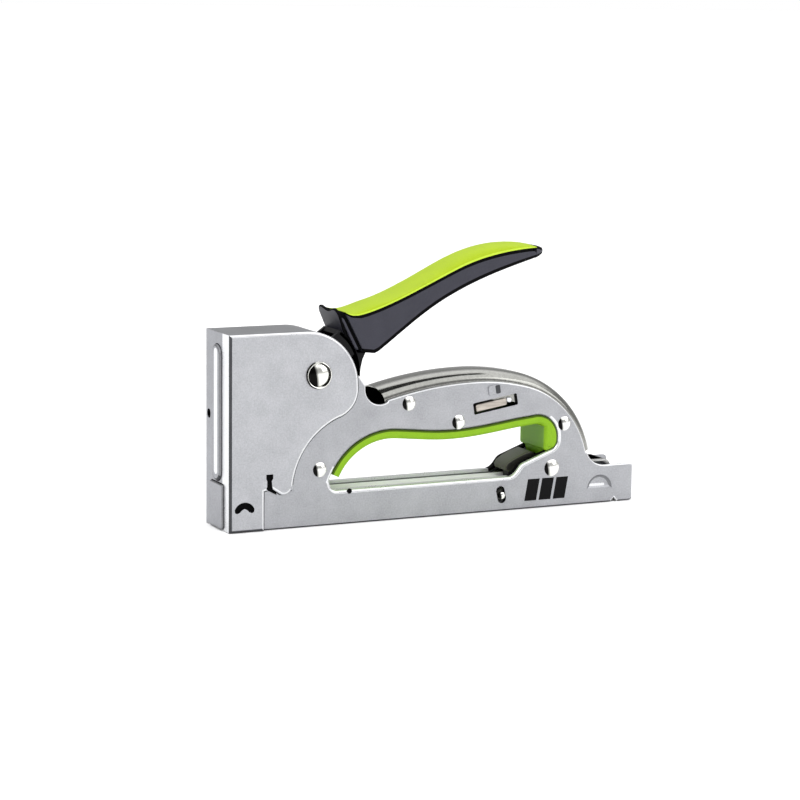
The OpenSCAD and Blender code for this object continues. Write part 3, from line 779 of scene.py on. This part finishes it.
def loop_grip():
    """The soft liner of the hand loop: a band with round edges, and its inner web, with painted shade on the
    band's sides, the tongue's rim and the web.
    """
    s = Shape()
    path = [p for p in loop_top(0) if p[1] > 20.1] + arc(LOOP_CORNER, LOOP_CORNER_R, -8, -60, 6)
    thick = 3.8
    half = PLATE_HALF - 0.1
    section = []
    corners = ((half, 0, 0.7), (half, thick, 1.7), (-half, thick, 1.7), (-half, 0, 0.7))
    for quarter, (y, v, radius) in enumerate(corners):
        centre = (y - math.copysign(radius, y), v - radius if v else radius)
        section += arc(centre, radius, 90 * quarter - 90, 90 * quarter, 5)
    rings = []
    n = len(path)
    for i, p in enumerate(path):
        a, b = path[max(0, i - 1)], path[min(n - 1, i + 1)]
        length = math.dist(a, b)
        tangent = ((b[0] - a[0]) / length, (b[1] - a[1]) / length)
        normal = (tangent[1], -tangent[0])
        rings.append([(p[0] + normal[0] * v, y, p[1] + normal[1] * v) for y, v in section])
    # Painted shade along the band's rounded sides.
    s.rings(rings, tone=lambda j: 2 if j < 5 or j > 17 else 0)
    tongue = [p for p in loop_top(0.1) if p[0] > 141] + arc(LOOP_CORNER, LOOP_CORNER_R - 0.1, -5, -68, 7)
    tongue += [(140.6, 23.8), (139.7, 24.2), (139.4, 25), (139.4, 36.2), (141, 36.8)]
    # The tongue's rim and the web below take painted shade.
    s.sheet(tongue, edge(half - 0.1, 0.1 - half, 1.6, 1.6, 5, 5), rim=lambda r, at: 1 if r == 5 else 0)
    web = [p for p in loop_top(-4) if p[1] > 24]
    web += [(149.3, 21.5), (148.5, 20.7), (141.8, 20.7), (140.5, 21.4), (140, 22.8), (140, 30)]
    web += [p for p in reversed(loop_top(3.4)) if p[1] > (32.3 if p[0] > 130 else 28)]
    s.sheet(web, edge(LIP_IN - 0.15, 0.15 - LIP_IN, 1.2, 1.2, 4, 4), tone=1)
    return s.make("loop_liner", (LIME, LIME_PAINTED_SHADE, LIME_PAINTED_EDGE_SHADE), "body", ["loop_grip"], "green_rubber")


def cap(radius, height, foot=0.0, steps=8):
    """(radius, height) pairs of a shallow round cap that stands on a foot."""
    ball = (radius * radius + height * height) / (2 * height)
    widest = math.asin(radius / ball)
    out = []
    for i in range(steps):
        a = widest * (1 - i / steps)
        out.append((ball * math.sin(a), foot + ball * math.cos(a) - ball + height))
    return out + [(0.02, foot + height)]


def rivet_head(s, at, seat, radius, height, side):
    """A domed head on the plane at the given distance from the middle."""
    s.lathe((at[0], side * seat, at[1]), (0, side, 0), cap(radius, height))


def rivets():
    """Heads and shanks of the four equal rivets."""
    s = Shape()
    for at in RIVETS:
        for side in (-1, 1):
            rivet_head(s, at, PLATE_HALF, 3, 1, side)
        shank = [(RIVET_SHANK, 0), (RIVET_SHANK, 2 * PLATE_HALF)]
        s.lathe((at[0], -PLATE_HALF, at[1]), (0, 1, 0), shank, 24)
    return s.make("plate_rivets", RIVET, "body", ["body_rivets"], "chrome", weighted=False)


def latch_rivet():
    """The larger rivet that carries the latch."""
    s = Shape()
    for side in (-1, 1):
        rivet_head(s, LATCH_PIVOT, PLATE_HALF, 3.5, 1, side)
    shank = [(LATCH_SHANK, 0), (LATCH_SHANK, 2 * PLATE_HALF)]
    s.lathe((LATCH_PIVOT[0], -PLATE_HALF, LATCH_PIVOT[1]), (0, 1, 0), shank, 28)
    return s.make("latch_rivet", RIVET, "body", ["latch_pin"], "chrome", weighted=False)


def pivot_head():
    """The tubular rivet that the lever turns on."""
    s = Shape()
    rim = [(5.6, 0), (5.6, 0.35), (5.4, 0.62), (5.1, 0.72), (4.85, 0.6), (4.75, 0.3)]
    for side in (-1, 1):
        s.lathe((PIVOT[0], side * COVER_HALF, PIVOT[1]), (0, side, 0), rim + cap(4.6, 1.2, 0.1, 12), 48)
    shank = [(PIVOT_SHANK, 0), (PIVOT_SHANK, 2 * COVER_HALF)]
    s.lathe((PIVOT[0], -COVER_HALF, PIVOT[1]), (0, 1, 0), shank, 40)
    return s.make("pivot_rivet_heads", PIVOT_STEEL, "body", ["pivot_rivet"], "chrome", weighted=False)


# ---------------------------------------------------------------- lever

def lever_half(x):
    """Half width of the lever in plan."""
    if x < 75:
        return 10.0
    if x < 120:
        return 10 - (x - 75) / 45
    if x < 134.8:
        return 9 - 0.31 * (x - 120) / 14.8
    return math.sqrt(max(0.05, 81 - (x - 132.5) ** 2))


def along(path, share):
    """The point at a share of a path's length."""
    lengths = [math.dist(a, b) for a, b in zip(path, path[1:])]
    left = share * sum(lengths)
    for a, b, d in zip(path, path[1:], lengths):
        if left <= d:
            t = left / d if d else 0
            return (a[0] + (b[0] - a[0]) * t, a[1] + (b[1] - a[1]) * t)
        left -= d
    return path[-1]


def paired(low, high, counts):
    """Matching points on two paths that are cut into the same stretches."""
    pairs = []
    for a, b, n in zip(low, high, counts):
        for i in range(n):
            pairs.append((along(a, i / n), along(b, i / n)))
    pairs.append((low[-1][-1], high[-1][-1]))
    return pairs


def lever_ring(low, high, r_low, r_high, inset=0.0, steps=5):
    """A rounded rectangle that stands between two points of the side view."""
    height = math.dist(low, high)
    up = ((high[0] - low[0]) / max(height, 1e-6), (high[1] - low[1]) / max(height, 1e-6))
    r_low = min(r_low, height * 0.48)
    r_high = min(r_high, height * 0.48)
    ring = []
    for corner, (sy, sv) in enumerate([(1, 1), (-1, 1), (-1, 0), (1, 0)]):
        r = r_high if sv else r_low
        for i in range(steps + 1):
            a = math.radians(90 * corner + 90 * i / steps)
            v = (height - r if sv else r) + r * math.sin(a)
            x = low[0] + up[0] * v
            z = low[1] + up[1] * v
            half = max(0.3, lever_half(x) - inset)
            rr = min(r, half * 0.8)
            y = sy * (half - rr) + rr * math.cos(a)
            ring.append((x, y, z))
    return ring


def dome_ring(low, high, side=0.5, inset=0.1, steps=28):
    """A section with short straight sides and a domed top."""
    height = math.dist(low, high)
    up = ((high[0] - low[0]) / max(height, 1e-6), (high[1] - low[1]) / max(height, 1e-6))
    side = min(side, height * 0.3)
    ring = []
    for i in range(steps + 1):
        a = math.pi * i / steps
        v = side + (height - side) * math.sin(a)
        x, z = low[0] + up[0] * v, low[1] + up[1] * v
        ring.append((x, (lever_half(x) - inset) * math.cos(a), z))
    half = lever_half(low[0]) - inset
    return ring + [(low[0], -half, low[1]), (low[0], half, low[1])]


GRIP_REAR = 135.4
CROWN = (
    curve([(46, 86.1), (54, 86), (57, 88.6), (64, 89.9)], 16)
    + curve([(64, 89.9), (69, 91.1), (73.5, 92.7), (78, 94.9)], 12)
    + curve([(78, 94.9), (91, 100.8), (103.5, 111.5), (124, 111.5)], 24)
    + curve([(124, 111.5), (131, 111.5), (136, 110.6), (140, 108.9)], 12)
)
CROWN = [(x, z - 0.02) for x, z in CROWN]
UNDER = (
    curve([(139.6, 106.3), (127.2, 102.7), (112.4, 98.8), (99.1, 92.5)], 24)
    + curve([(99.1, 92.5), (84.5, 85.9), (74.5, 77.4), (63.5, 69.6)], 24)
    + [(63.5, 69.6)]
)[::-1]
JOINT = (
    [(47.4, 86.1), (48.2, 85.3), (49.4, 84.6), (51, 84.1)]
    + curve([(53.4, 84), (64.5, 85.5), (84.5, 95.4), (99, 101.5)], 24)
    + curve([(99, 101.5), (109.5, 105.9), (122.3, 108.3), (GRIP_REAR, 108.9)], 24)
    + [(GRIP_REAR, 108.9)]
)


def level(path, x):
    """Height of a path of the side view at x."""
    for a, b in zip(path, path[1:]):
        if a[0] <= x <= b[0] and a[0] < b[0]:
            return a[1] + (b[1] - a[1]) * (x - a[0]) / (b[0] - a[0])
    return path[-1][1]


def lever_body():
    """The moulded cover of the lever: flange, ridge and gaps painted black for shade at the front, then the
    long side, with painted shade along its underside.
    """
    s = Shape()
    foot, head = (48.1, 75.9), (43.7, 87.4)
    length = math.dist(foot, head)
    up = ((head[0] - foot[0]) / length, (head[1] - foot[1]) / length)
    ahead = (-up[1], up[0])

    def on_flange(y, v, h):
        return (foot[0] + up[0] * v + ahead[0] * h, y, foot[1] + up[1] * v + ahead[1] * h)

    brow = [(0.7 * k, length - 1.3 * math.cos(math.radians(9 * k)) ** 2) for k in range(9, -10, -1)]
    face = [(9, 0)] + arc((6.8, length - 3.2), 3.2, 0, 70, 8) + brow
    face += arc((-6.8, length - 3.2), 3.2, 110, 180, 8) + [(-9, 0), (-6.5, -0.7), (0, -1), (6.5, -0.7)]
    # The flange's edge takes painted black shade.
    s.sheet(face, edge(0, -1.1, 0.5, 0.3, 3, 2), place=on_flange, rim=1)
    # The gaps behind the flange are painted black for shade.
    gap = [((48.6, 75.8), (44.9, 86.6)), ((52.6, 71.2), (46.6, 86.4))]
    gap += [((57, 69.8), (50.2, 84.9)), ((60, 70), (52, 85))]
    s.rings([lever_ring(a, b, 1.0, 1.0, 1.4) for a, b in gap], tone=1)
    ahead_edge = ((52.4, 71.0), (45.9, 83.9))
    ridge = ((53.1, 70.7), (46.4, 83.9))
    behind_edge = ((53.9, 70.4), (46.9, 83.9))
    slices = ((ahead_edge, 0.4), (ahead_edge, 0.15), (ridge, 0.0), (behind_edge, 0.15), (behind_edge, 0.4))
    s.rings([lever_ring(low, high, 1.2, 1.2, inset) for (low, high), inset in slices])
    drop = 0.75
    front = [(48.2, 85.2), (49.4, 84.5), (51, 83.8), (53.4, 83.6)]
    joint = [(x, z - drop) for x, z in JOINT if x > 53.3]
    low = [[(56.4, 69.3), (61.5, 68.7), (63.5, 69.6)], UNDER]
    pairs = paired(low, [front + joint[1:3], joint[2:]], [12, 64])
    rings = [lever_ring(*pairs[0], 2, 0.5, 0.9), lever_ring(*pairs[0], 2, 0.5, 0.35)]
    rings += [lever_ring(a, b, 2, 0.5, 0.1 if i == 0 else 0) for i, (a, b) in enumerate(pairs[1:-1])]
    # Painted shade along the underside of the long side.
    s.rings(rings, tone=lambda j: 1 if 12 <= j <= 22 else 0)
    tip_x = 139.2
    tip = []
    for x in (GRIP_REAR, 137.4, tip_x):
        tip.append(lever_ring((x, level(UNDER, x)), (x, level(CROWN, x)), 1.3, 1.3))
    for t in (0.4, 0.75, 0.96):
        x = tip_x + 2.2 * t
        squeeze = 1.3 * (1 - math.sqrt(1 - t * t))
        tip.append(lever_ring((x, 106.3 + squeeze), (x, 109.1 - squeeze), 1.2, 1.2))
    s.rings(tip, tone=lambda j: 0 if j in (11, 23) else 1)
    # A dark joint under the inlay, deepened with painted shade.
    strip = [p for p in JOINT if p[0] < GRIP_REAR]
    s.rings([lever_ring((x, z - 1), (x + 0.05, z + 0.8), 0.2, 0.2, 0.35) for x, z in strip[3:]], tone=1)
    return s.make("lever_body", (CHARCOAL, DARK_JOINT_AND_PAINTED_SHADE), "lever", ["lever_cover"], "charcoal_plastic", sharp=50)


def lever_inlay():
    """The soft lime inlay on top of the lever, with a domed section."""
    s = Shape()
    foot_front = [p for p in JOINT if p[0] <= 54]
    foot_rest = [foot_front[-1]] + [p for p in JOINT if 54 < p[0]]
    crown_front = [(47.5, 86.2)] + [p for p in CROWN if 47.8 < p[0] <= 52]
    crown_rest = [crown_front[-1]] + [p for p in CROWN if 52 < p[0] < GRIP_REAR] + [(GRIP_REAR, 110)]
    pairs = paired([foot_front, foot_rest], [crown_front, crown_rest], [10, 70])[1:]
    rings = [dome_ring((a[0], min(a[1] + 0.6, b[1] - 0.1)), b) for a, b in pairs]
    # Painted highlight along the inlay's lower edges.
    s.rings(rings, tone=lambda j: 1 if j in (0, 27, 28, 30) else 0)
    return s.make("lever_inlay", (LIME_TOP, LIME_PAINTED_HIGHLIGHT), "lever", ["lever_grip"], "green_rubber", sharp=60)


def lever_neck():
    """The black steel core that joins the lever to its pivot."""
    s = Shape()
    radius = 20.5
    hub = arc(PIVOT, 8.5, 90, 340, 20)
    cheek = hub + arc(PIVOT, radius, -6, 56, 24)
    for side in (1, -1):
        s.sheet(cheek, edge(side * 8.5, side * 6.5, 0.4, 0.2))
    back = arc(PIVOT, radius, -6, 56, 24) + arc(PIVOT, radius - 2, 56, -6, 20)
    s.sheet(back, edge(8.5, -8.5, 0.4, 0.4))
    s.sheet(circle(PIVOT, 7, 40), edge(7, -7, 0.3, 0.3))
    collar = [(50, 68), (53, 69.5), (57.6, 69.2), (56.3, 66.4), (55.5, 63), (55.1, 59.8), (51, 62)]
    s.sheet(collar, edge(8.5, -8.5, 0.5, 0.5, 3, 3))
    crank = [(10.5, 46), (13.6, 46), (18.5, 47.2), (25, 55), (29, 63)]
    crank += [(38, 57), (36, 54), (22, 44), (15, 41.2), (10.5, 42)]
    s.sheet(crank, edge(4, -4, 0.4, 0.4))
    s.sheet(circle((10.5, 44), 2, 24), edge(4, -4, 0.3, 0.3))
    shank = [(46, 77), (52, 70), (66, 78.5), (98, 96), (94.5, 98), (62, 82)]
    s.sheet(shank, edge(5, -5, 0.3, 0.3))
    return s.make("lever_neck", BLACK_STEEL, "lever", ["lever_core"], "black_steel")


# ---------------------------------------------------------------- magazine and latch

def latch():
    """The black thumb latch with its two side arms."""
    s = Shape()
    body = [(124.7, 15.4), (124.3, 17), (125.2, 18.5), (127.6, 20.1), (131.4, 21.9)]
    body += [(135.6, 23.2), (137.4, 22.5), (138.2, 19.6)]
    body += arc(LATCH_PIVOT, 3.7, 100, -90, 12) + [(132, 14.4), (126, 14.8)]

    # Painted light: the upper side bands of the black latch take the lighter olive, the rest stays black.
    def painted_light_facet(r, at):
        return 1 if 1 <= r <= 7 and at[1] > 15 and at[0] < 136.5 else 0

    def narrowed(x, z, h):
        return (x, h * (1 if h > 0 else min(1, 0.8 + (x - 124) / 40)), z)

    s.sheet(body, edge(6, -6, 0.7, 0.7, 4, 4), rim=painted_light_facet, place=narrowed)
    hub = [(3.5, 0), (3.7, 0.3), (3.7, 16.7), (3.5, 17)]
    s.lathe((LATCH_PIVOT[0], -8.5, LATCH_PIVOT[1]), (0, 1, 0), hub, 32)
    s.box((127, -2.5, 11.5), (130, 2.5, 16), 0.2)
    for side in (1, -1):
        arm = arc(STUD, 2.3, 115, 295, 14) + arc(LATCH_PIVOT, 3.4, -65, 115, 16)
        s.sheet(arm, edge(side * 10.3, side * 8.4, 0.3, 0.1))
    return s.make("thumb_latch", (BLACK, LATCH_PAINTED_LIGHT), "latch", ["magazine_latch"], "black_plastic")


def latch_studs():
    """The two studs in the plates' oval holes."""
    s = Shape()
    for side in (1, -1):
        s.lathe((STUD[0], side * 10.3, STUD[1]), (0, side, 0), [(1.45, 0)] + cap(1.45, 0.5, 1.4), 28)
    return s.make("stud_pins", RIVET, "latch", ["latch_studs"], "chrome", weighted=False)


def tail_cap():
    """The end piece of the magazine, with its hollow tab."""
    s = Shape()
    s.box((165.6, -10.3, 1.3), (167, 10.3, 13.2), 0.4)
    s.box((165.6, -10.3, 11.9), (178.5, 10.3, 13.2), 0.4)
    s.box((165.6, -10.3, 1.3), (178.5, 10.3, 2.5), 0.4)
    for side in (1, -1):
        low, high = sorted((side * 9, side * 10.3))
        s.box((165.6, low, 1.3), (178.5, high, 13.2), 0.4)
    shell = [(163, 13), (163, 17.6)] + arc((171, 14.4), 3.2, 90, 0, 10) + [(174.2, 13)]
    hollow = [(163.8, 13.9), (163.8, 16.6), (169.8, 16.6), (171.8, 15.5), (172.6, 13.9)]
    # The tab's hollow takes painted shade on its walls and floor.
    s.sheet(shell, edge(7, -7, 0.7, 0.7, 4), [(hollow, edge(7, -7, 0.3, 0.3, 2), 1)])
    s.sheet(shell, edge(5.4, -5.4, 0.1, 0.1, 2), tone=1)
    return s.make("tail_cap", (STEEL, PAINTED_SHADE_STEEL), "magazine", ["magazine_cap"], "inner_steel")


def slide_bar():
    """The bright bar in the handle's window."""
    s = Shape()
    outline = window_place(moved(rounded_box(14.4, 3, 0.5, 3), (-1.7, -0.1)))
    s.sheet(outline, edge(PLATE_HALF - 0.5, 0.5 - PLATE_HALF, 0.4, 0.4, 3))
    end = window_place([(6.9, 0.2)])[0]
    # The pin at the bar's end is painted as a highlight.
    pin = [(0.9, 0), (1.2, 0.3), (1.2, 22.7), (0.9, 23)]
    s.lathe((end[0], 0.5 - PLATE_HALF, end[1]), (0, 1, 0), pin, 24, tone=1)
    return s.make("window_bar", (BRUSHED, PAINTED_HIGHLIGHT), "selector", ["selector_slide"], "slide_steel")


# ---------------------------------------------------------------- springs

def springs():
    """The four springs; the first two, which shorten as the gun works, get meshes of their own."""
    s = Shape()
    s.coil((7, 0, 50.05), (0, 0, 1), 5.4, 1.1, 5.5, 25.5)
    main = s.make("drive_spring", WIRE, "body", ["mainspring"], "spring_steel", weighted=False)
    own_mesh(main)
    s = Shape()
    s.coil((11.3, 0, 5.5), (1, 0, 0), 1.95, 0.3, 40, 150.5, 14, 6)
    push = s.make("feed_spring", WIRE, "magazine", ["pusher_spring"], "spring_steel", weighted=False)
    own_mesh(push)
    s = Shape()
    s.coil((PIVOT[0], 8.6, PIVOT[1]), (0, 1, 0), 5.6, 0.3, 2, 1.9, 40, 8)
    s.make("lever_spring", WIRE, "lever", ["return_spring"], "spring_steel", weighted=False)
    s = Shape()
    s.coil((LATCH_PIVOT[0], -2.4, LATCH_PIVOT[1]), (0, 1, 0), 2.8, 0.35, 5, 4.8, 28, 8)
    s.make("latch_coil", WIRE, "latch", ["latch_spring"], "spring_steel", weighted=False)


def inner_parts():
    """CAD nodes that are shown as they are, inside the gun."""
    finishes = {
        "driver_guide": (STEEL, "inner_steel"),
        "spring_cap": (STEEL, "inner_steel"),
        "bumper": (RUBBER, "black_rubber"),
        "magazine_channel": (CHANNEL, "inner_steel"),
        "plunger": (STEEL, "inner_steel"),
        "driver_blade": (STEEL, "inner_steel"),
        "magazine_rail": (STEEL, "inner_steel"),
        "guide_rod": (CHROME, "chrome"),
        "pusher": (STEEL, "inner_steel"),
    }
    for node, (finish, slot) in finishes.items():
        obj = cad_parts[node]
        obj.data.materials.clear()
        obj.data.materials.append(finish)


# ---------------------------------------------------------------- studio

def surroundings(world):
    """A white horizon, a greyer band above it and a bright ceiling."""
    nodes, links = world.node_tree.nodes, world.node_tree.links
    back = nodes["Background"]
    place = nodes.new("ShaderNodeTexCoord")
    split = nodes.new("ShaderNodeSeparateXYZ")
    links.new(place.outputs["Generated"], split.inputs["Vector"])
    ramp = nodes.new("ShaderNodeValToRGB")
    stops = ramp.color_ramp.elements
    stops[0].position = 0.0
    stops[0].color = (1, 1, 1, 1)
    stops[1].position = 1.0
    stops[1].color = (1.7, 1.7, 1.7, 1)
    for at, glow in ((0.03, 1.0), (0.1, 0.45), (0.42, 0.4), (0.62, 1.7)):
        stops.new(at).color = (glow, glow, glow, 1)
    links.new(split.outputs["Z"], ramp.inputs["Fac"])
    links.new(ramp.outputs["Color"], back.inputs["Color"])
    back.inputs["Strength"].default_value = 1.0


FLOOR_HALF_M = 60.0
FLOOR_DROP_M = 0.0002
LAMPS = (("key", (-0.9, -1.0, 1.2), 6), ("fill", (1.2, -0.9, 0.7), 4))
LAMP_SIZE_M = 0.8
LAMP_AIM_M = (0.08, 0, 0.05)
CAMERA_LENS = 115.4
CAMERA_AIM = (77.19, 0, 47.397)
CAMERA_DISTANCE_M = 1.0584
CAMERA_TURN = 25.5
CAMERA_TILT = 8.865
CAMERA_ROLL = 0.654


def pale_floor():
    """A wide pale floor just under the gun."""
    mesh = bpy.data.meshes.new("floor")
    low, high = -FLOOR_HALF_M, FLOOR_HALF_M
    mesh.from_pydata([(low, low, 0), (high, low, 0), (high, high, 0), (low, high, 0)], [], [(0, 1, 2, 3)])
    ground = bpy.data.objects.new("floor", mesh)
    bpy.context.scene.collection.objects.link(ground)
    ground.location.z = -FLOOR_DROP_M
    mesh.materials.append(material("pale_floor", (250, 250, 250), (252, 252, 252), 0, (0.8, 0.9), 60, 0.0))


def lamps():
    """Two soft lamps in front of the gun, one on each side."""
    for name, place, power in LAMPS:
        data = bpy.data.lights.new(name, "AREA")
        data.size = LAMP_SIZE_M
        data.energy = power
        lamp = bpy.data.objects.new(name, data)
        bpy.context.scene.collection.objects.link(lamp)
        lamp.location = place
        aim = Vector(LAMP_AIM_M) - Vector(place)
        lamp.rotation_euler = aim.to_track_quat("-Z", "Y").to_euler()


def camera():
    """The camera, ahead of the gun's near side and a little above it."""
    data = bpy.data.cameras.new("camera")
    data.lens = CAMERA_LENS
    data.sensor_width = 36
    eye = bpy.data.objects.new("camera", data)
    bpy.context.scene.collection.objects.link(eye)
    turn, tilt = math.radians(CAMERA_TURN), math.radians(CAMERA_TILT)
    away = Vector((-math.sin(turn) * math.cos(tilt), -math.cos(turn) * math.cos(tilt), math.sin(tilt)))
    eye.location = Vector(CAMERA_AIM) * MM + away * CAMERA_DISTANCE_M
    eye.rotation_mode = "QUATERNION"
    roll = Matrix.Rotation(math.radians(CAMERA_ROLL), 3, "Z").to_quaternion()
    eye.rotation_quaternion = (-away).to_track_quat("-Z", "Y") @ roll
    bpy.context.scene.camera = eye


def studio():
    """Pale floor, white surroundings, soft lamps and the camera."""
    scene = bpy.context.scene
    scene.view_settings.view_transform = "Standard"
    pale_floor()
    world = bpy.data.worlds.new("studio")
    scene.world = world
    world.use_nodes = True
    surroundings(world)
    lamps()
    camera()


for plate_side in (-1, 1):
    side_plate(plate_side)
nose_cover()
front_rib()
painted_shade_lines()
badge()
handle_spine()
loop_grip()
rivets()
latch_rivet()
pivot_head()
lever_body()
lever_inlay()
lever_neck()
latch()
latch_studs()
tail_cap()
slide_bar()
springs()
inner_parts()
studio()
